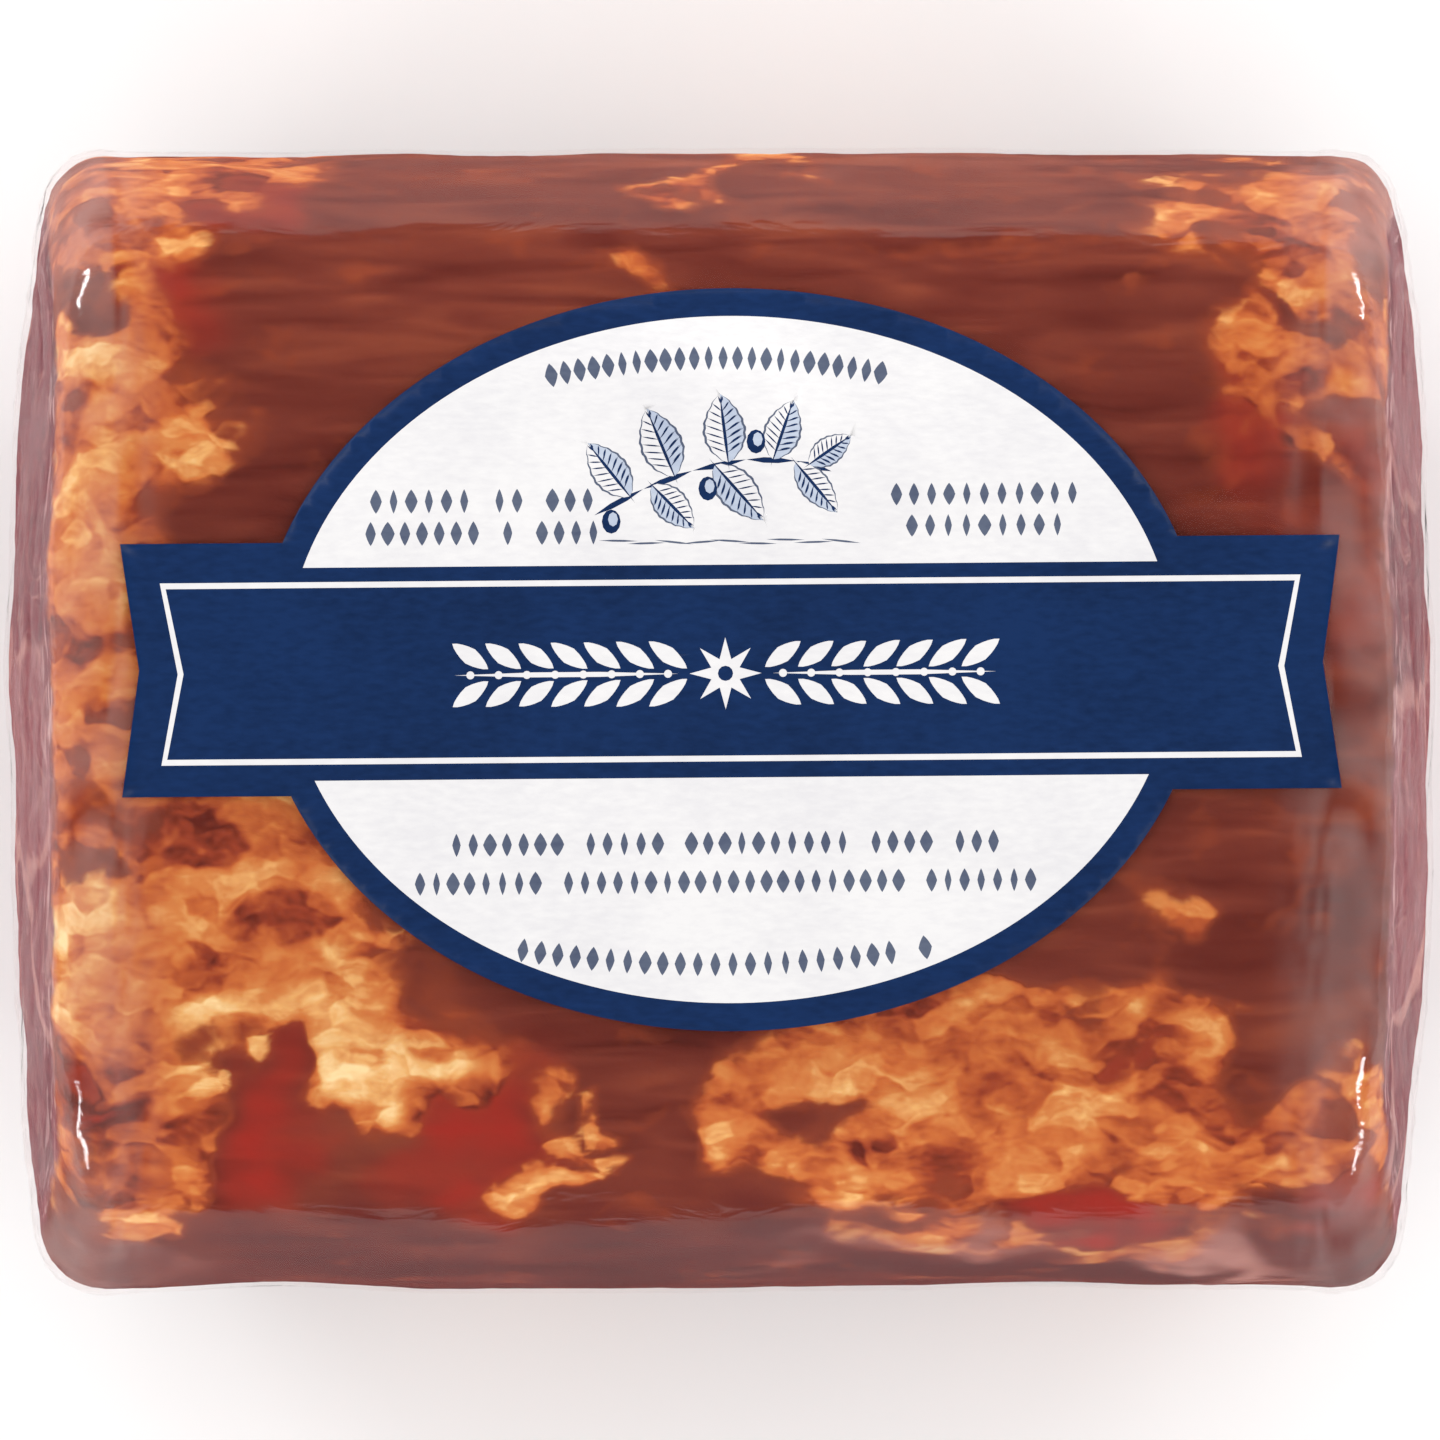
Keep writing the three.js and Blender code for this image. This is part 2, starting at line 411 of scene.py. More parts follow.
# Each area of the top: middle x and y, half size along and across, turn in degrees, strength.
fatAreas = [
    (-69, 34, 10, 14, 0, 1.0),
    (-72, 12, 8, 15, 0, 1.0),
    (-68, 57, 10, 8, 0, 0.75),
    (-56, 63, 12, 4, 0, 0.8),
    (-69, 46, 5, 1.5, 12, -0.8),
    (-60, -20, 20, 14, 0, 1.0),
    (-44, -33, 16, 8, -22, 1.0),
    (-69, -42, 10, 14, 0, 0.9),
    (-60, -49, 9, 5, 0, 0.8),
    (-31, -38, 8, 4, -15, 0.7),
    (-68, -18, 4, 2, 0, -0.8),
    (-66, -24, 4, 3, 0, -0.4),
    (-68, -39, 3, 2, 20, -0.5),
    (-67, -46, 5, 2, 0, -0.5),
    (-50, -46, 4, 10, -18, -1.6),
    (-38, -52, 9, 3, 0, -0.9),
    (-40, -41, 5, 6, 0, 0.8),
    (-34, -44, 3, 4, 20, 0.6),
    (-19, -52, 4.5, 2, 4, 1.2),
    (-19, -43, 2, 3, 0, 0.8),
    (-14, -43, 1.3, 2.5, 0, 0.8),
    (-17, -48, 5, 1.4, -15, 0.6),
    (8, -40, 9, 5, 12, 0.9),
    (36, -55, 16, 3, 0, 0.6),
    (58, -50, 8, 6, 0, 0.7),
    (70, -46, 6, 9, 0, 0.55),
    (30, -33, 14, 4, 0, 0.5),
    (26, -38, 13, 8, 0, 0.9),
    (42, -44, 12, 9, 0, 0.85),
    (2, -47, 4.5, 3.5, 0, 1.0),
    (14, -51, 7, 4, 0, 0.8),
    (29, -48, 11, 5, 0, 0.8),
    (22, -59, 12, 3, 0, 0.5),
    (53, -36, 6, 5, 0, 1.0),
    (51, -23, 4, 2.5, 0, 0.7),
    (63, -45, 3, 4, 0, 0.9),
    (50, -60, 9, 2, 0, 0.5),
    (44, -40, 3.5, 1.6, 30, -0.6),
    (41, -56, 8, 1.8, -4, -1.0),
    (13, -44, 8, 1.5, 10, -0.7),
    (67, 42, 9, 11, 8, 1.0),
    (62, 58, 13, 6, 0, 0.75),
    (65, 46, 4, 1.4, -15, -0.9),
    (70, 32, 5, 3, 0, -0.9),
    (65, 29, 5, 1.5, -10, 0.8),
    (-8, 53, 3, 4, 20, 0.8),
    (-4, 61, 6, 1.8, 18, 0.8),
    (5, 65, 5, 3, 0, 1.0),
    (-45, -12, 10, 5, 0, 0.7),
]
paleAreas = [
    (-42, -34, 9, 6, -30, 1.0),
    (-39, -41, 4, 4, 0, 1.0),
    (-55, -36, 5, 4, 20, 0.8),
    (-70, -23, 6, 3, 0, 0.7),
    (-72, -33, 4, 3, 0, 0.6),
    (-33, -37, 5, 3, 0, 0.6),
    (-19, -52, 4, 2, 4, 1.0),
    (-19, -43, 2, 2, 0, 0.5),
    (53, -37, 5, 3, 0, 0.8),
    (2, -47, 3, 2.5, 0, 0.5),
    (27, -46, 6, 3, 0, 0.45),
    (15, -53, 4, 2, 0, 0.45),
    (62, 46, 4, 5, 0, 0.3),
    (-72, 40, 5, 4, 0, 0.4),
    (-70, 24, 4, 10, 0, 0.25),
    (-7, 54, 3, 3, 0, 0.4),
    (5, 65, 5, 3, 0, 0.6),
    (-63, 59, 5, 3, 0, 0.3),
]
redAreas = [
    (-50, -45, 4, 9, -18, 1.0),
    (-26, -46, 5, 7, 0, 1.0),
    (-34, -53, 6, 3, 0, 0.6),
    (41, -56, 8, 1.8, -4, 1.0),
    (44, -40, 4, 1.6, 30, 0.4),
    (71, -54, 5, 4, 0, 0.7),
    (-60, 48, 5, 3, 0, 0.7),
    (-54, 58, 6, 3, 0, 0.5),
    (-67, -46, 6, 3, 0, 0.8),
    (-68, -39, 4, 3, 0, 0.6),
    (60, 36, 3, 9, 0, 0.6),
    (70, 30, 5, 4, 0, 0.4),
    (66, 14, 8, 8, 0, 0.3),
]
# Painted highlight and painted reflection: where the film's haze and glints are painted into the meat as
# pale colour.
paintedSheenAreas = [
    (-79, 58, 9, 9, 0, 0.7),
    (80, 59, 11, 10, 0, 0.8),
    (0, 68, 90, 4, 0, 0.15),
    (57, -62.5, 7, 1.8, -12, 1.0),
    (24, -60, 14, 1.2, 4, 0.5),
    (-72, -61, 8, 3, 0, 0.5),
]


def falloff(square):  # of an area's strength, by its squared distance: half at the edge
    return np.exp(-0.69 * square ** 1.5)


# How strongly a list of areas covers each point.
def coverage(x, y, areas):
    total = np.zeros(len(x))
    for middleX, middleY, halfX, halfY, turn, strength in areas:
        c, s = math.cos(math.radians(turn)), math.sin(math.radians(turn))
        dx, dy = x - middleX, y - middleY
        square = ((c * dx + s * dy) / halfX) ** 2 + ((c * dy - s * dx) / halfY) ** 2
        total += strength * falloff(square)
    return total


# Lets fat and lean areas fall by chance over the sides and the underside, which nothing else sets.
def chanceCoverage(points):
    rng = np.random.default_rng(meat["seed"])
    power = jointForm["sectionPower"]
    halfWidth, halfHeight = jointForm["width"] / 2, jointForm["height"] / 2
    total = np.zeros(len(points))
    for _ in range(meat["chanceAreas"]):
        turn = math.radians(rng.uniform(172, 368))  # from one side, under the joint, to the other
        across, up = math.cos(turn), math.sin(turn)
        out = (abs(across) ** power + abs(up) ** power) ** (-1 / power)
        x = rng.uniform(-meat["chanceReach"], meat["chanceReach"])
        y, z = across * out * halfWidth, (1 + up * out) * halfHeight
        halfX, halfAcross = rng.uniform(8, 22), rng.uniform(5, 11)
        square = ((points[:, 0] - x) / halfX) ** 2
        square += ((points[:, 1] - y) ** 2 + (points[:, 2] - z) ** 2) / halfAcross ** 2
        total += rng.choice([1.0, 0.8, -0.5]) * falloff(square)
    return total


def strayOf(point):  # a wandering step of up to 1 along each axis, broad with a little that is fine
    shifts = (Vector((0, 0, 0)), Vector((31, 17, 5)), Vector((7, 43, 29)))
    return [noise.noise(point / 9 + s) + noise.noise(point / 3.5 + s) * 0.35 for s in shifts]


def paintAreas(mesh):
    points = pointsOf(mesh)
    wandered = points + np.array([strayOf(Vector(p)) for p in points]) * meat["wander"]
    x, y, _ = wandered.T
    top = smooth(points[:, 2], meat["topFrom"], meat["topTo"])
    below = chanceCoverage(wandered)
    keepValues(mesh, "fat", np.clip(coverage(x, y, fatAreas) * top + below * (1 - top), 0, 1.2))
    keepValues(mesh, "pale", np.clip(coverage(x, y, paleAreas) * top + below * 0.25 * (1 - top), 0, 1))
    keepValues(mesh, "red", np.clip(coverage(x, y, redAreas) * top, 0, 1))
    # how strongly the painted highlight of the film's sheen and glints covers each point
    keepValues(mesh, "paintedSheen", np.clip(coverage(x, y, paintedSheenAreas) * top, 0, 1))
    # darker towards the front side, on the top's edge and on the side beneath it: painted shade
    keepValues(mesh, "paintedFrontShade", smooth(-y, 54, 62) * top + smooth(-y, 40, 62) * (1 - top))
    return mesh


def meatMaterial():
    material, tree, end, point = newMaterial("smokedMeat")
    fat, pale, red = (paintedField(tree, n) for n in ("fat", "pale", "red"))
    paintedSheen, paintedFrontShade = paintedField(tree, "paintedSheen"), paintedField(tree, "paintedFrontShade")
    endDepth, lump = paintedField(tree, "endDepth"), paintedField(tree, "lump")

    clumps = blots(tree, point, 5.0, stretch=(1.3, 1, 1), detail=4.0, distortion=0.5)
    flecks = blots(tree, point, 1.8, stretch=(1.5, 1, 1), detail=3.0, distortion=0.3, shift=3.0)
    strands = blots(tree, point, 3.4, stretch=(6, 1, 1.4), detail=3.0, distortion=0.6, shift=7.0)
    broad = blots(tree, point, 17.0, stretch=(1.8, 1, 1), detail=2.0, shift=11.0)

    wander = strayed(tree, strayed(tree, point, 6.0, 1.3), 2.0, 0.25)
    bigClumps = clumpTones(tree, wander, 5.5, stretch=(1.5, 1, 1), softness=0.25)
    smallClumps = clumpTones(tree, wander, 2.4, stretch=(1.5, 1, 1), shift=4.0, softness=0.3)

    fatEdge = fat + (clumps - 0.5) * 0.9 + (bigClumps - 0.5) * 0.45 + (smallClumps - 0.5) * 0.2
    isFat = fatEdge.ramp(0.40, 0.68)
    nearFat = fatEdge.ramp(0.12, 0.48)

    fatTone = bigClumps * 0.24 + smallClumps * 0.22 + clumps * 0.4 + flecks * 0.18 + pale * 0.3 + 0.06
    strokes = blots(tree, wander, 1.1, stretch=(1.9, 1, 1), detail=3.0, distortion=0.2, shift=9.0)
    fatTone = fatTone + (strokes - 0.5) * 0.26 - lump * 0.16
    fatTone = fatTone + fatEdge.math("MINIMUM", 1) * 0.12 - red * 0.2 - 0.15
    fatColour = colourRamp(tree, fatTone, {
        0.20: "5e2118", 0.33: "8f3b24", 0.43: "ad542c", 0.53: "c26a36", 0.63: "cc8046", 0.75: "dfa868",
        0.90: "efd29c",
    })
    # the lean is darker on the front side (painted shade) and lighter where the painted sheen of the film
    # lies
    leanTone = strands * 0.7 + broad * 0.45 - paintedFrontShade * 0.16 + paintedSheen * 0.1
    leanColour = colourRamp(tree, leanTone, {
        0.30: "45150f", 0.45: "5f231a", 0.60: "703024", 0.75: "85402c",
    })
    leanColour = mixColour(tree, nearFat * 0.8, leanColour, ink("8a3e26"))
    leanColour = mixColour(tree, red * (strands + clumps - 0.1), leanColour, ink("96281e"))
    outer = mixColour(tree, isFat, leanColour, fatColour)
    # the front side darkened to purple-brown: painted shade
    outer = mixColour(tree, paintedFrontShade * 0.45, outer, ink("5c2628"))
    # pale pink over those areas: a painted highlight for the film's sheen and glints
    outer = mixColour(tree, paintedSheen * (clumps * 0.7 + 0.15), outer, ink("c08a80"))

    # the cut ends: pink bundles of muscle with pale seams between them
    _, y, z = separate(tree, point)
    bent = strayed(tree, point, 24.0, 6.0)
    bundles = clumpTones(tree, bent, 36.0, shift=2.3, softness=0.1)
    bundleEdge = cells(tree, bent, 36.0, feature="DISTANCE_TO_EDGE", shift=2.3)
    seams = 1 - (bundleEdge - (broad - 0.45) * 0.09).ramp(0.0, 0.03)
    seams = seams * (broad * 2.2 - 0.5).math("MINIMUM", 1)
    veins = 1 - abs(blots(tree, bent, 15.0, detail=4.0, distortion=1.2, shift=6.0) * 2 - 1).ramp(0.0, 0.05)
    fibres = cells(tree, wander, 1.7, shift=8.0)
    inFromRim = combine(tree, endDepth, y * 0.12, z * 0.12)
    endStreaks = blots(tree, inFromRim, 2.2, detail=3.0, distortion=0.4, shift=2.0)
    nearRim = 1 - endDepth.ramp(7.0, 15.0)
    endTone = endStreaks * nearRim * 0.5 + (1 - nearRim) * 0.27 + bundles * 0.16
    endTone = endTone + flecks * 0.3 - fibres * 0.12
    cut = colourRamp(tree, endTone, {
        0.25: "55262c", 0.38: "6f373e", 0.50: "82474c", 0.62: "996568", 0.80: "c0938f",
    })
    fatLines = seams.math("MAXIMUM", 0) * 0.7 + veins * (clumps - 0.25).math("MAXIMUM", 0) * 0.9
    cut = mixColour(tree, fatLines.math("MINIMUM", 0.85), cut, ink("b5837b"))
    # pale dashes near the rim: partly pale fat, partly a painted highlight for the film's glint streaks at
    # the ends
    alongRim = combine(tree, endDepth, y * 0.2, z * 0.2)
    rimFatAndGlints = nearRim * blots(tree, alongRim, 1.2, detail=2.0, shift=4.0).ramp(0.56, 0.66)
    cut = mixColour(tree, rimFatAndGlints * 0.55, cut, ink("cba5a2"))
    atCut = (endDepth + (clumps - 0.5) * 5 + (flecks - 0.5) * 2).ramp(5.2, 7.6)
    colour = mixColour(tree, atCut, outer, cut)

    height = clumps * 0.35 + flecks * 0.22 + strands * 0.25
    height = height + (0.6 - lump) * isFat * 0.5 + strokes * isFat * 0.2
    bump = addNode(tree, "ShaderNodeBump", {"Height": height, "Distance": mm, "Strength": 0.8})
    shader = addNode(tree, "ShaderNodeBsdfPrincipled", {
        "Base Color": colour, "Normal": bump.outputs[0], "Specular IOR Level": 0.0,
        "Roughness": 0.62 - isFat * 0.14 + (flecks - 0.5) * 0.2,
        "Subsurface Weight": 0.18, "Subsurface Scale": 0.0035,
    })
    shader.inputs["Subsurface Radius"].default_value = (1.0, 0.35, 0.2)
    tree.links.new(shader.outputs[0], end.inputs["Surface"])
    return material


def outerSizes(node, cellsShare=1.0):  # the shared form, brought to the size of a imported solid
    low, high = (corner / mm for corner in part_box(node))
    sizes = dict(jointForm)
    sizes.update(length=high.x - low.x, width=high.y - low.y, height=high.z - low.z, bottom=low.z)
    for name in cellNames:
        sizes[name] = round(jointForm[name] * cellsShare)
    return sizes


def makeMeat():
    form = paintAreas(runTree(formTree, outerSizes("ham")))
    mesh = runTree(surfaceTree, meatRelief, start=form)
    piece = finishPiece(meat["pieceName"], mesh, [meatMaterial()], "ham")
    print("meat made:", len(mesh.polygons), "faces")
    return piece


film = {
    "pieceName": "clear_film",
    "cellsShare": 0.68,
    "thickness": 0.08,
    "haze": 0.002,  # share of the film that is milky
    "creaseHaze": 0.06,  # and of its creases
    "gloss": 0.6,  # beside a plain clear face
    "mostGloss": 0.022,
}


# The strip along the film's back where its two edges are welded, with ribs from the jaws that did it.
seal = {
    "length": 136.0,
    "width": 9.0,
    "ribs": 7,
    "ribHeight": 0.22,
    "wave": 0.25,  # how far the strip buckles
    "lowest": 20.0,  # height of its free edge
    "gap": 0.12,  # off the film
    "lift": 0.5,  # of the free edge, over the gap
    "runIn": 8,  # how quickly the ribs and waves begin below the upper edge
    "milkiness": 2.5,  # beside that of a crease
}


def sealTree():
    sizes = {name: seal[name] for name in ("length", "width", "ribs", "ribHeight", "wave")}
    tree, size, start = openTree("sealStrip", sizes)
    grid = addNode(tree, "GeometryNodeMeshGrid", {"Vertices X": 160, "Vertices Y": 43})
    feed(tree, grid.inputs["Size X"], size["length"])
    feed(tree, grid.inputs["Size Y"], size["width"])
    point = addNode(tree, "GeometryNodeInputPosition").outputs[0]
    x, y, _ = separate(tree, point)
    ribs = (y / size["width"] * size["ribs"] * 2 * math.pi).math("SINE") * size["ribHeight"]
    buckle = (blots(tree, point, 9.0, detail=2.0) - 0.5) * 2 * size["wave"]
    moved = addNode(tree, "GeometryNodeSetPosition", {"Geometry": grid.outputs[0]})
    feed(tree, moved.inputs["Position"], combine(tree, -x, ribs + buckle, y))
    return closeTree(tree, start, moved.outputs[0])


def laidSeal(skin):  # on the back of the film, running into it along the upper edge
    strip = runTree(sealTree(), seal)
    points = pointsOf(strip)
    for point in points:
        share = 0.5 - point[2] / seal["width"]  # 0 at the upper edge
        height = seal["lowest"] + seal["width"] * (1 - share)
        hit = skin.ray_cast(Vector((point[0], farOut, height)), Vector((0, -1, 0)))[0]
        point[1] = hit.y + seal["gap"] + seal["lift"] * share + point[1] * min(1, share * seal["runIn"])
        point[2] = height
    strip.vertices.foreach_set("co", points.ravel())
    keepValues(strip, "crease", np.full(len(points), seal["milkiness"]))
    return strip


def joined(first, second):
    holders = [bpy.data.objects.new("part", mesh) for mesh in (first, second)]
    for holder in holders:
        bpy.context.scene.collection.objects.link(holder)
    with bpy.context.temp_override(active_object=holders[0], selected_editable_objects=holders):
        bpy.ops.object.join()
    mesh = holders[0].data
    bpy.data.objects.remove(holders[0])
    return mesh


def filmMaterial():
    material, tree, end, point = newMaterial("clearFilm")
    crease = paintedField(tree, "crease")
    ripple = blots(tree, point, 4.0, stretch=(2.5, 1, 1), detail=3.0, distortion=1.0)
    bump = addNode(tree, "ShaderNodeBump", {"Height": ripple, "Distance": 0.4 * mm, "Strength": 0.35})
    clear = addNode(tree, "ShaderNodeBsdfTransparent", {"Color": (1, 0.995, 0.995, 1)})
    shine = addNode(tree, "ShaderNodeBsdfAnisotropic", {"Color": (1, 1, 1, 1), "Roughness": 0.07})
    feed(tree, shine.inputs["Normal"], bump.outputs[0])
    facing = addNode(tree, "ShaderNodeFresnel", {"IOR": 1.42, "Normal": bump.outputs[0]})
    glossShare = (Field(tree, facing.outputs[0]) * film["gloss"]).math("MINIMUM", film["mostGloss"])
    milky = addNode(tree, "ShaderNodeBsdfDiffuse", {"Color": ink("efe4e2"), "Roughness": 0.5})
    glossy = addNode(tree, "ShaderNodeMixShader", {0: glossShare, 1: clear.outputs[0], 2: shine.outputs[0]})
    hazeShare = film["haze"] + crease * film["creaseHaze"]
    both = addNode(tree, "ShaderNodeMixShader", {0: hazeShare, 1: glossy.outputs[0], 2: milky.outputs[0]})
    tree.links.new(both.outputs[0], end.inputs["Surface"])
    return material


def makeFilm():
    form = paintAreas(runTree(formTree, outerSizes("film", film["cellsShare"])))
    mesh = runTree(surfaceTree, filmRelief, start=form)
    skin = BVHTree.FromPolygons(pointsOf(mesh).tolist(), [list(p.vertices) for p in mesh.polygons])
    mesh = joined(mesh, laidSeal(skin))
    piece = finishPiece(film["pieceName"], mesh, [filmMaterial()], "film")
    wall = piece.modifiers.new("wall", "SOLIDIFY")
    wall.thickness = film["thickness"] * mm
    wall.offset = -1
    print("film made:", len(mesh.polygons), "faces, its seal among them")
    return piece, skin


label = {
    "pieceName": "label",
    "middle": (1.2, 6.8),
    "turn": 0.45,  # degrees
    "ovalWidth": 105.2,
    "ovalHeight": 83.0,
    "border": 3.15,
    "ribbonHalfLength": 67.9,
    "ribbonTop": 13.3,
    "ribbonBottom": -14.9,
    "notch": 2.0,
    "bandTop": 10.5,  # of the part of the ribbon that crosses the oval
    "bandBottom": -13.2,
    "frameHalfLength": 63.5,
    "frameTop": 8.9,
    "frameBottom": -11.4,
    "frameLine": 0.65,
    "gap": 0.22,  # between the film and the label
    "thickness": 0.12,
    "grid": 2.0,  # spacing of the corners that let the sheet bend
    "gridMargin": 0.3,  # kept between those and the outline
    "evening": 12,  # rounds that even out what lies beneath
}
# Each ink's material, colour, the colour of its fainter marks, and roughness, in the order of the slots.
inks = {
    "navy": ("navyInk", "0a2c5c", "06234c", 0.42),
    "white": ("whitePaper", "e4e2e2", "dad8da", 0.5),
    "print": ("printInk", "5b6478", "4a536b", 0.5),
    "wash": ("washInk", "bcc5d4", "aab4c8", 0.5),
}
straight = 0.00001  # a bend too small to be seen

# A row of small ornaments: how many, and the row's length, bend (turn per mm) and the marks' form.
markRow = {
    "count": 20,
    "length": 30.0,
    "bend": straight,
    "markWidth": 1.0,
    "markHeight": 2.6,
    "markPower": 1.4,  # 1 is a lozenge, 2 an oval, more a rounded bar
    "widthSpread": 0.3,
    "gapShare": 0.0,
    "lean": 0.0,  # radians
    "seed": 1,
}


def markRowTree():
    tree, size, start = openTree("markRow", markRow)
    line = addNode(tree, "GeometryNodeMeshLine", {"Count": size["count"]})
    index = Field(tree, addNode(tree, "GeometryNodeInputIndex").outputs[0])
    along = (index / (size["count"] - 1) - 0.5) * size["length"]
    turn = along * size["bend"]
    marked = keepField(tree, line.outputs[0], "turn", size["lean"] - turn)
    row = combine(tree, turn.math("SINE") / size["bend"], (turn.math("COSINE") - 1) / size["bend"], 0)
    placed = addNode(tree, "GeometryNodeSetPosition", {"Geometry": marked, "Position": row})
    chance = addNode(tree, "FunctionNodeRandomValue", {"Seed": size["seed"]}, data_type="BOOLEAN")
    feed(tree, chance.inputs["Probability"], size["gapShare"])
    kept = addNode(tree, "GeometryNodeDeleteGeometry", {"Geometry": placed.outputs[0]})
    feed(tree, kept.inputs["Selection"], chance.outputs[3])

    disc = addNode(tree, "GeometryNodeMeshCircle", {"Vertices": 16, "Radius": 1.0}, fill_type="NGON")
    x, y, _ = separate(tree, addNode(tree, "GeometryNodeInputPosition").outputs[0])
    power = size["markPower"]
    out = 0.5 / (abs(x) ** power + abs(y) ** power) ** (1 / power)
    form = combine(tree, x * out * size["markWidth"], y * out * size["markHeight"], 0)
    shaped = addNode(tree, "GeometryNodeSetPosition", {"Geometry": disc.outputs[0], "Position": form})

    spread = addNode(tree, "FunctionNodeRandomValue", {"Seed": size["seed"]}, data_type="FLOAT")
    feed(tree, spread.inputs[2], 1 - size["widthSpread"])
    feed(tree, spread.inputs[3], 1 + size["widthSpread"])
    row = addNode(tree, "GeometryNodeInstanceOnPoints", {"Points": kept.outputs[0]})
    feed(tree, row.inputs["Instance"], shaped.outputs[0])
    feed(tree, row.inputs["Rotation"], combine(tree, 0, 0, keptField(tree, "turn")))
    feed(tree, row.inputs["Scale"], combine(tree, spread.outputs[1], 1, 1))
    return closeTree(tree, start, row.outputs[0])


rowTree = markRowTree()


def placedRow(inkName, middle, **sizes):
    mesh = runTree(rowTree, {**markRow, **sizes})
    points = pointsOf(mesh)[:, :2] + middle
    return [(inkName, [tuple(points[i]) for i in face.vertices]) for face in mesh.polygons]


def ellipse(halfWidth, halfHeight, start=0.0, stop=2 * math.pi, steps=120, middle=(0, 0)):
    turns = np.linspace(start, stop, steps, endpoint=stop - start < 6.28)
    return [(middle[0] + halfWidth * math.cos(t), middle[1] + halfHeight * math.sin(t)) for t in turns]


def ribbon(halfLength, top, bottom, notch):
    middle = (top + bottom) / 2
    return [
        (-halfLength, bottom), (halfLength, bottom), (halfLength - notch, middle),
        (halfLength, top), (-halfLength, top), (notch - halfLength, middle),
    ]


def stroke(first, last, width):  # a thin line that is broadest in its middle
    a, b = np.array(first), np.array(last)
    along = (b - a) / max(np.hypot(*(b - a)), 0.01)
    side = np.array((-along[1], along[0])) * width / 2
    return [tuple(p) for p in (a, a * 0.65 + b * 0.35 - side, a * 0.35 + b * 0.65 - side, b,
                               a * 0.35 + b * 0.65 + side, a * 0.65 + b * 0.35 + side)]


# An engraved leaf: outline, pale inside, midrib, veins, and one half shaded with fine strokes.
def leafArt(base, tip, halfWidth):
    base, tip = np.array(base), np.array(tip)
    along = tip - base
    side = np.array((-along[1], along[0])) / np.hypot(*along) * halfWidth

    def at(share, across):
        half = math.sin(math.pi * share ** 0.85) ** 0.8 + 0.035 * math.sin(share * 44)
        return tuple(base + along * share + side * across * max(half, 0))

    shares = np.linspace(0, 1, 26)
    art = []
    for inkName, across in (("print", 1.0), ("white", 0.88)):
        art.append((inkName, [at(s, across) for s in shares] + [at(s, -across) for s in shares[-2:0:-1]]))
    art.append(("wash", [at(s, 0) for s in shares] + [at(s, -0.88) for s in shares[-2:0:-1]]))
    for share in np.linspace(0.14, 0.84, 8):
        art.append(("navy", stroke(at(share, 0), at(min(share + 0.13, 0.97), 0.9), 0.16)))
        art.append(("navy", stroke(at(share, 0), at(min(share + 0.13, 0.97), -0.9), 0.16)))
        art.append(("navy", stroke(at(share + 0.05, -0.25), at(min(share + 0.13, 0.97), -0.8), 0.14)))
    art.append(("navy", stroke(base - along * 0.12, tip, 0.34)))
    return art


def sprigArt(middle):
    stem = [(-13.5, -5.5), (-8, -2.6), (-2.5, -0.6), (3.5, 0.6), (9, 0.4), (13, -0.8)]
    leaves = [  # base, tip, half width
        ((-9.5, -3.4), (-14.2, 2.6), 2.1),
        ((-7.0, -2.2), (-2.4, -7.0), 1.9),
        ((-4.5, -1.2), (-7.6, 6.4), 2.4),
        ((0.0, 0.0), (5.4, -6.2), 2.2),
        ((1.5, 0.3), (0.6, 8.0), 2.4),
        ((6.5, 0.6), (8.8, 7.2), 2.1),
        ((9.0, 0.2), (13.6, -5.4), 1.7),
        ((10.5, 0.0), (15.2, 3.2), 1.6),
    ]
    art = [("navy", stroke(a, b, 0.62)) for a, b in zip(stem, stem[1:])]
    for base, tip, halfWidth in leaves:
        art += leafArt(base, tip, halfWidth)
    for x, y in ((-11.6, -6.2), (-0.8, -2.6), (4.6, 2.6)):
        art.append(("navy", ellipse(1.05, 1.35, steps=12, middle=(x, y))))
        art.append(("wash", ellipse(0.55, 0.8, steps=8, middle=(x + 0.2, y + 0.25))))
    for i in range(9):
        x = -13 + i * 3.1
        art.append(("print", stroke((x, -8.3 - i % 2 * 0.4), (x + 4.4, -8.4 - i % 3 * 0.2), 0.22)))
    return [(inkName, [(x + middle[0], y + middle[1]) for x, y in outline]) for inkName, outline in art]


# White leaves in pairs on both sides of a star, in the place of a title.
def garlandArt(middle):
    art = []
    x, y = middle
    for sign in (-1, 1):
        for lean in (-1, 1):
            art += placedRow("white", (x + sign * 17.4, y + lean * 2.1), count=7, length=22.0,
                             markWidth=5.0, markHeight=1.9, markPower=1.35, widthSpread=0.05,
                             lean=sign * lean * 0.62)
        art.append(("white", stroke((x + sign * 5.2, y), (x + sign * 30.2, y), 0.55)))
        art += placedRow("white", (x + sign * 17.4, y), count=8, length=22.0, markWidth=0.9, markHeight=0.9,
                         markPower=2.0, widthSpread=0.0)
    points = [(4.0 if i % 2 == 0 else 1.7, math.radians(22.5 * i + 90)) for i in range(16)]
    art.append(("white", [(x + r * math.cos(t), y + r * math.sin(t)) for r, t in points]))
    art.append(("navy", ellipse(0.85, 0.85, steps=12, middle=middle)))
    return art


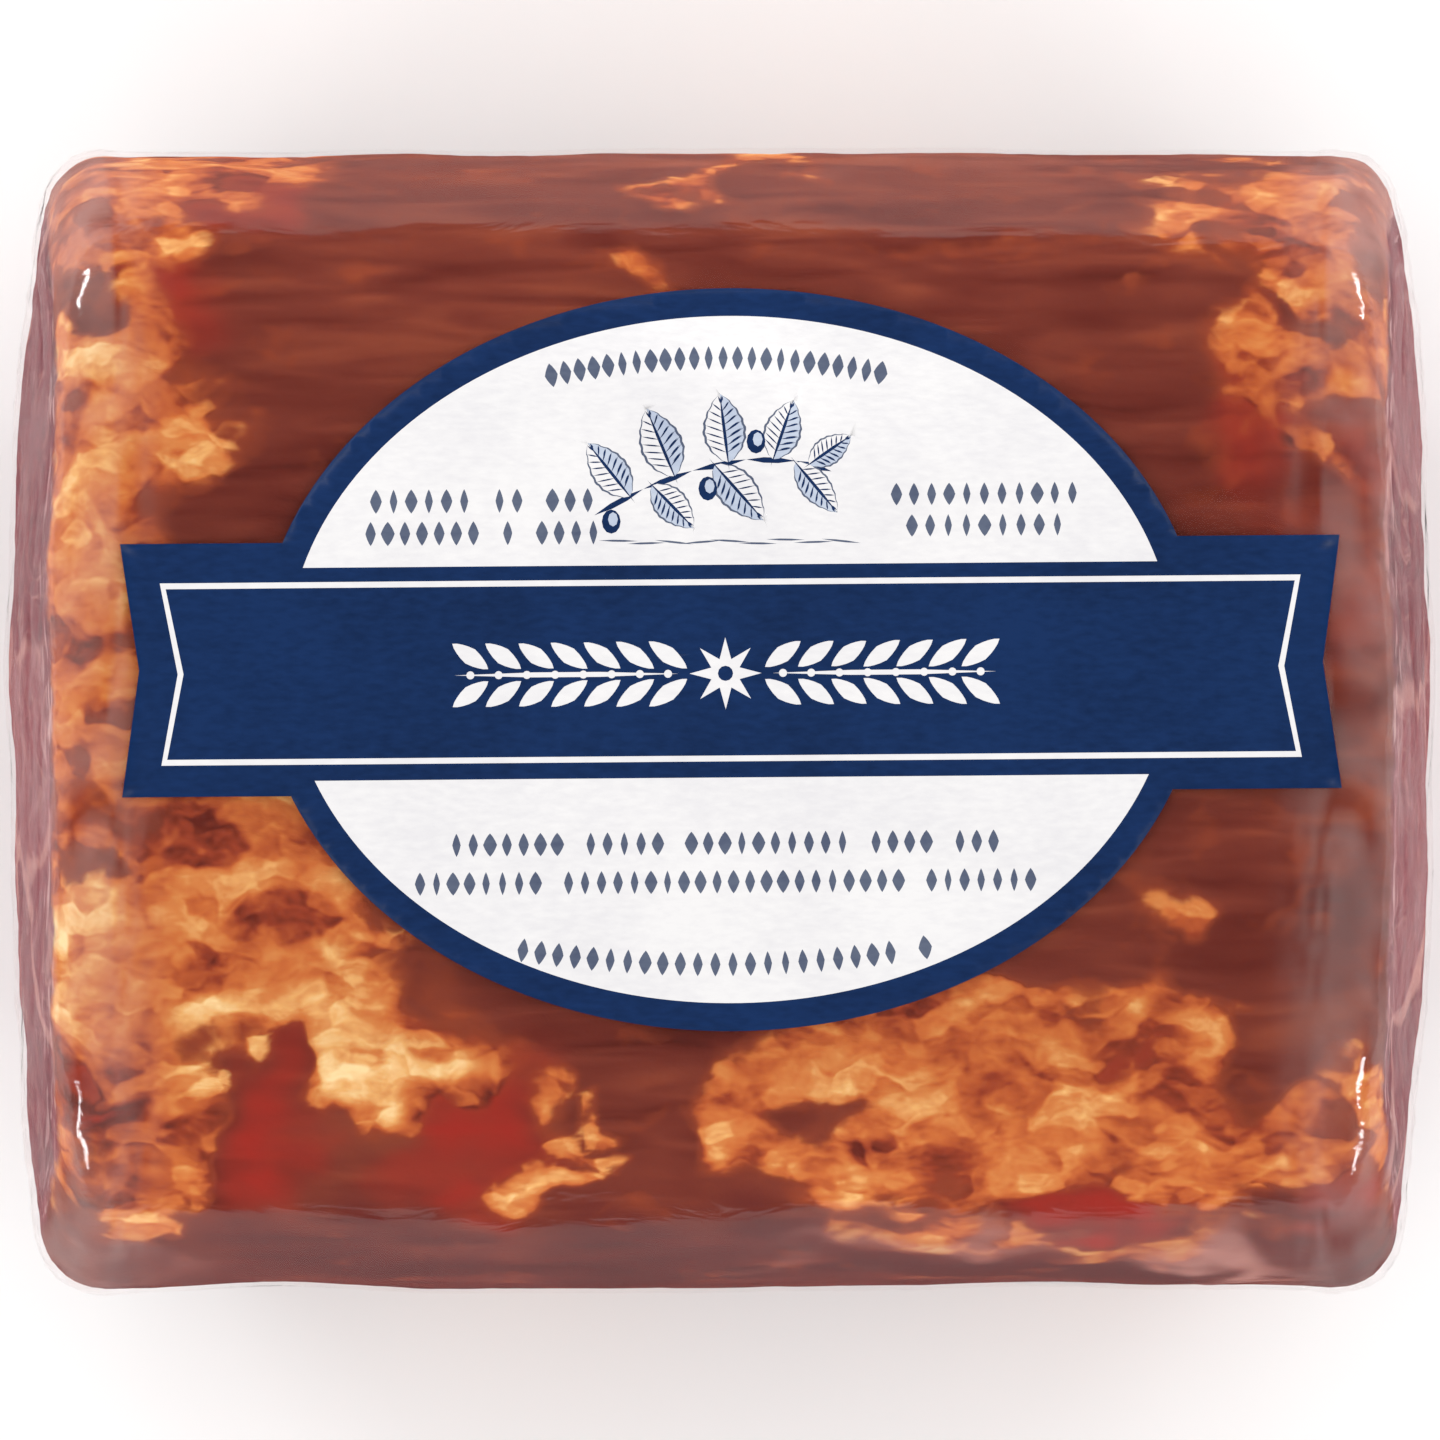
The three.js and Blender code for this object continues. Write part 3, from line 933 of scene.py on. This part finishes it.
def labelArt():
    halfWidth, halfHeight = label["ovalWidth"] / 2, label["ovalHeight"] / 2
    innerWidth, innerHeight = halfWidth - label["border"], halfHeight - label["border"]
    upper = math.asin(label["bandTop"] / innerHeight)
    lower = math.asin(label["bandBottom"] / innerHeight)
    line = label["frameLine"]
    top, bottom = label["ribbonTop"], label["ribbonBottom"]
    frameHalf, frameTop, frameBottom = label["frameHalfLength"], label["frameTop"], label["frameBottom"]
    frameNotch = label["notch"] - 0.1
    art = [
        ("navy", ellipse(halfWidth, halfHeight, steps=180)),
        ("navy", ribbon(label["ribbonHalfLength"], top, bottom, label["notch"])),
        ("white", ellipse(innerWidth, innerHeight, upper, math.pi - upper, 80)),
        ("white", ellipse(innerWidth, innerHeight, math.pi - lower, 2 * math.pi + lower, 80)),
        ("white", ribbon(frameHalf, frameTop, frameBottom, frameNotch)),
        ("navy", ribbon(frameHalf - line, frameTop - line, frameBottom + line, frameNotch)),
    ]
    art += garlandArt((-0.6, -1.6))
    art += sprigArt((-1.6, 21.6))
    rows = [  # middle, length, count, bend, height, gap share
        ((-1.4, 33.6), 37.0, 24, 0.0105, 2.7, 0.08),
        ((-27.6, 17.8), 23.6, 13, straight, 2.7, 0.15),
        ((-27.6, 14.2), 24.8, 14, straight, 2.7, 0.12),
        ((28.4, 18.2), 19.6, 11, straight, 2.5, 0.0),
        ((28.4, 14.7), 16.2, 9, straight, 2.5, 0.0),
        ((-0.8, -20.5), 59.8, 33, straight, 2.6, 0.13),
        ((-0.8, -24.8), 68.0, 38, straight, 2.6, 0.13),
        ((-1.0, -34.0), 45.0, 24, -0.0068, 2.7, 0.1),
    ]
    for seed, (middle, length, count, bend, height, gapShare) in enumerate(rows, 3):
        art += placedRow("print", middle, length=length, count=count, bend=bend, markHeight=height,
                         markWidth=1.15, markPower=1.2, widthSpread=0.35, gapShare=gapShare, seed=seed)
    return art


def evenSteps(outline):  # with more corners on the long sides, so that they can bend with the joint
    ring = []
    for a, b in zip(outline, outline[1:] + outline[:1]):
        a, b = Vector(a), Vector(b)
        steps = max(1, math.ceil((b - a).length / label["grid"]))
        ring += [a.lerp(b, i / steps) for i in range(steps)]
    return ring


def isInside(points, outline):
    inside = np.zeros(len(points), bool)
    near = np.where(np.all((points >= outline.min(0)) & (points <= outline.max(0)), axis=1))[0]
    x, y = points[near].T
    for (ax, ay), (bx, by) in zip(outline, np.roll(outline, -1, axis=0)):
        if ay != by:
            crosses = ((ay > y) != (by > y)) & (x < ax + (y - ay) * (bx - ax) / (by - ay))
            inside[near] ^= crosses
    return inside


# Cuts the flat label into faces that follow every printed edge, each in the ink that lies on top there.
def printedSheet(art):
    corners, edges = [], []
    for _, outline in art:
        ring = evenSteps(outline)
        first, count = len(corners), len(ring)
        edges += [(first + i, first + (i + 1) % count) for i in range(count)]
        corners += ring
    reachX, reachY, margin = label["ribbonHalfLength"], label["ovalHeight"] / 2, label["gridMargin"]
    for x in np.arange(-reachX, reachX, label["grid"]):
        for y in np.arange(-reachY, reachY, label["grid"]):
            inOval = math.hypot(x / (label["ovalWidth"] / 2 - margin), y / (reachY - margin)) < 1
            inRibbon = abs(x) < reachX - label["notch"] - margin
            inRibbon = inRibbon and label["ribbonBottom"] + margin < y < label["ribbonTop"] - margin
            if inOval or inRibbon:
                corners.append(Vector((x + 0.113, y + 0.071)))  # a little off the printed edges
    points, _, faces, _, _, _ = delaunay_2d_cdt(corners, edges, [], 0, 0.0001, False)
    middles = np.array([sum((points[i] for i in face), Vector((0, 0))) / len(face) for face in faces])
    order = list(inks)
    topInks = np.full(len(faces), -1)
    for inkName, outline in art:
        topInks[isInside(middles, np.array(outline))] = order.index(inkName)
    kept = [i for i in range(len(faces)) if topInks[i] >= 0]
    return points, [faces[i] for i in kept], [int(topInks[i]) for i in kept]


def paperMaterial(name, colour, marks, roughness):
    material, tree, end, point = newMaterial(name)
    fibre = blots(tree, point, 0.7, stretch=(2.5, 1, 1), detail=4.0)
    cloud = blots(tree, point, 14.0, detail=2.0, shift=5.0)
    tone = fibre * 0.5 + cloud * 0.5
    shade = colourRamp(tree, tone, {0.35: marks, 0.62: colour})
    bump = addNode(tree, "ShaderNodeBump", {"Height": fibre, "Distance": 0.15 * mm, "Strength": 0.35})
    shader = addNode(tree, "ShaderNodeBsdfPrincipled", {"Base Color": shade, "Normal": bump.outputs[0]})
    feed(tree, shader.inputs["Roughness"], roughness + (fibre - 0.5) * 0.15)
    shader.inputs["Specular IOR Level"].default_value = 0.15
    tree.links.new(shader.outputs[0], end.inputs["Surface"])
    return material


# The heights of the film on an even grid, evened out but never below the film itself.
def restingHeights(skin):
    reach = int(label["ribbonHalfLength"]) + 10
    steps = np.arange(-reach, reach + 1)
    heights = np.zeros((len(steps), len(steps)))
    for i, x in enumerate(steps):
        for j, y in enumerate(np.clip(steps, -60, 60)):
            hit = skin.ray_cast(Vector((x, y, farOut)), Vector((0, 0, -1)))[0]
            heights[i, j] = hit.z if hit else 0
    level = heights.copy()
    for _ in range(label["evening"]):
        for axis in (0, 1):
            level = (np.roll(level, 1, axis) + 2 * level + np.roll(level, -1, axis)) / 4
        level = np.maximum(level, heights)
    return steps[0], level


def heightAt(resting, x, y):  # between the four heights around a point
    first, level = resting
    i, j = int(x - first), int(y - first)
    s, t = x - first - i, y - first - j
    low = level[i, j] * (1 - s) + level[i + 1, j] * s
    return low * (1 - t) + (level[i, j + 1] * (1 - s) + level[i + 1, j + 1] * s) * t


def makeLabel(skin):
    points, faces, topInks = printedSheet(labelArt())
    resting = restingHeights(skin)
    turn = math.radians(label["turn"])
    c, s = math.cos(turn), math.sin(turn)
    placed = []
    for u, v in points:
        x = label["middle"][0] + c * u - s * v
        y = label["middle"][1] + s * u + c * v
        placed.append((x, y, heightAt(resting, x, y) + label["gap"]))
    mesh = bpy.data.meshes.new("label")
    mesh.from_pydata(placed, [], faces)
    if sum(f.normal.z for f in mesh.polygons) < 0:
        mesh.flip_normals()
    materials = [paperMaterial(*look) for look in inks.values()]
    piece = finishPiece(label["pieceName"], mesh, materials, "label")
    mesh.polygons.foreach_set("material_index", topInks)
    sheet = piece.modifiers.new("sheet", "SOLIDIFY")
    sheet.thickness = label["thickness"] * mm
    sheet.offset = 1
    print("label made:", len(mesh.polygons), "faces")
    return piece


meatPiece = makeMeat()
filmPiece, filmSkin = makeFilm()
labelPiece = makeLabel(filmSkin)


studio = {
    "cameraHeight": 1.5,
    "viewWidth": 0.1659,  # of the view, at the height of the joint's widest part
    "widestAt": 0.049,
    "sensor": 36.0,
    "floorSize": 4.0,
    "worldLight": 1.12,
    "worldGlint": 0.12,  # of the same air, as it shows in gloss
}
softLights = [  # name, place, its two sizes, watts
    ("backLeft", (-0.95, 0.95, 0.34), (0.5, 0.1), 4.5),
    ("backRight", (0.95, 0.95, 0.30), (0.5, 0.1), 4.5),
    ("frontLeft", (-1.0, -0.9, 0.30), (0.5, 0.1), 3.5),
    ("frontRight", (1.0, -0.9, 0.34), (0.5, 0.1), 3.5),
]


def makeCamera():
    camera = bpy.data.cameras.new("camera")
    camera.sensor_width = studio["sensor"]
    camera.lens = studio["sensor"] * (studio["cameraHeight"] - studio["widestAt"]) / studio["viewWidth"]
    holder = bpy.data.objects.new("camera", camera)
    holder.location = (0, 0, studio["cameraHeight"])
    bpy.context.scene.collection.objects.link(holder)
    bpy.context.scene.camera = holder


def makeFloor():
    half = studio["floorSize"] / 2
    mesh = bpy.data.meshes.new("floor")
    corners = [(-half, -half, 0), (half, -half, 0), (half, half, 0), (-half, half, 0)]
    mesh.from_pydata(corners, [], [(0, 1, 2, 3)])
    floor = bpy.data.objects.new("floor", mesh)
    bpy.context.scene.collection.objects.link(floor)
    material, tree, end, point = newMaterial("paleFloor")
    tone = blots(tree, point, 60.0, detail=4.0)
    colour = colourRamp(tree, tone, {0.3: "f9f9f9", 0.7: "fcfcfc"})
    shader = addNode(tree, "ShaderNodeBsdfPrincipled", {"Base Color": colour, "Roughness": 0.8})
    tree.links.new(shader.outputs[0], end.inputs["Surface"])
    mesh.materials.append(material)


def makeLight():
    for name, place, sizes, watts in softLights:
        light = bpy.data.lights.new(name, "AREA")
        light.shape = "RECTANGLE"
        light.size, light.size_y = sizes
        light.energy = watts
        holder = bpy.data.objects.new(name, light)
        holder.location = place
        holder.rotation_euler = (-Vector(place)).to_track_quat("-Z", "Y").to_euler()
        bpy.context.scene.collection.objects.link(holder)
    world = bpy.data.worlds.new("studio")
    world.use_nodes = True
    tree = world.node_tree
    air = tree.nodes["Background"]
    air.inputs[0].default_value = (1, 1, 1, 1)
    mirrored = Field(tree, addNode(tree, "ShaderNodeLightPath").outputs["Is Glossy Ray"])
    lessGlint = studio["worldLight"] - studio["worldGlint"]
    feed(tree, air.inputs[1], studio["worldLight"] - mirrored * lessGlint)
    bpy.context.scene.world = world
    bpy.context.scene.view_settings.view_transform = "Standard"


makeCamera()
makeFloor()
makeLight()
print("studio set")
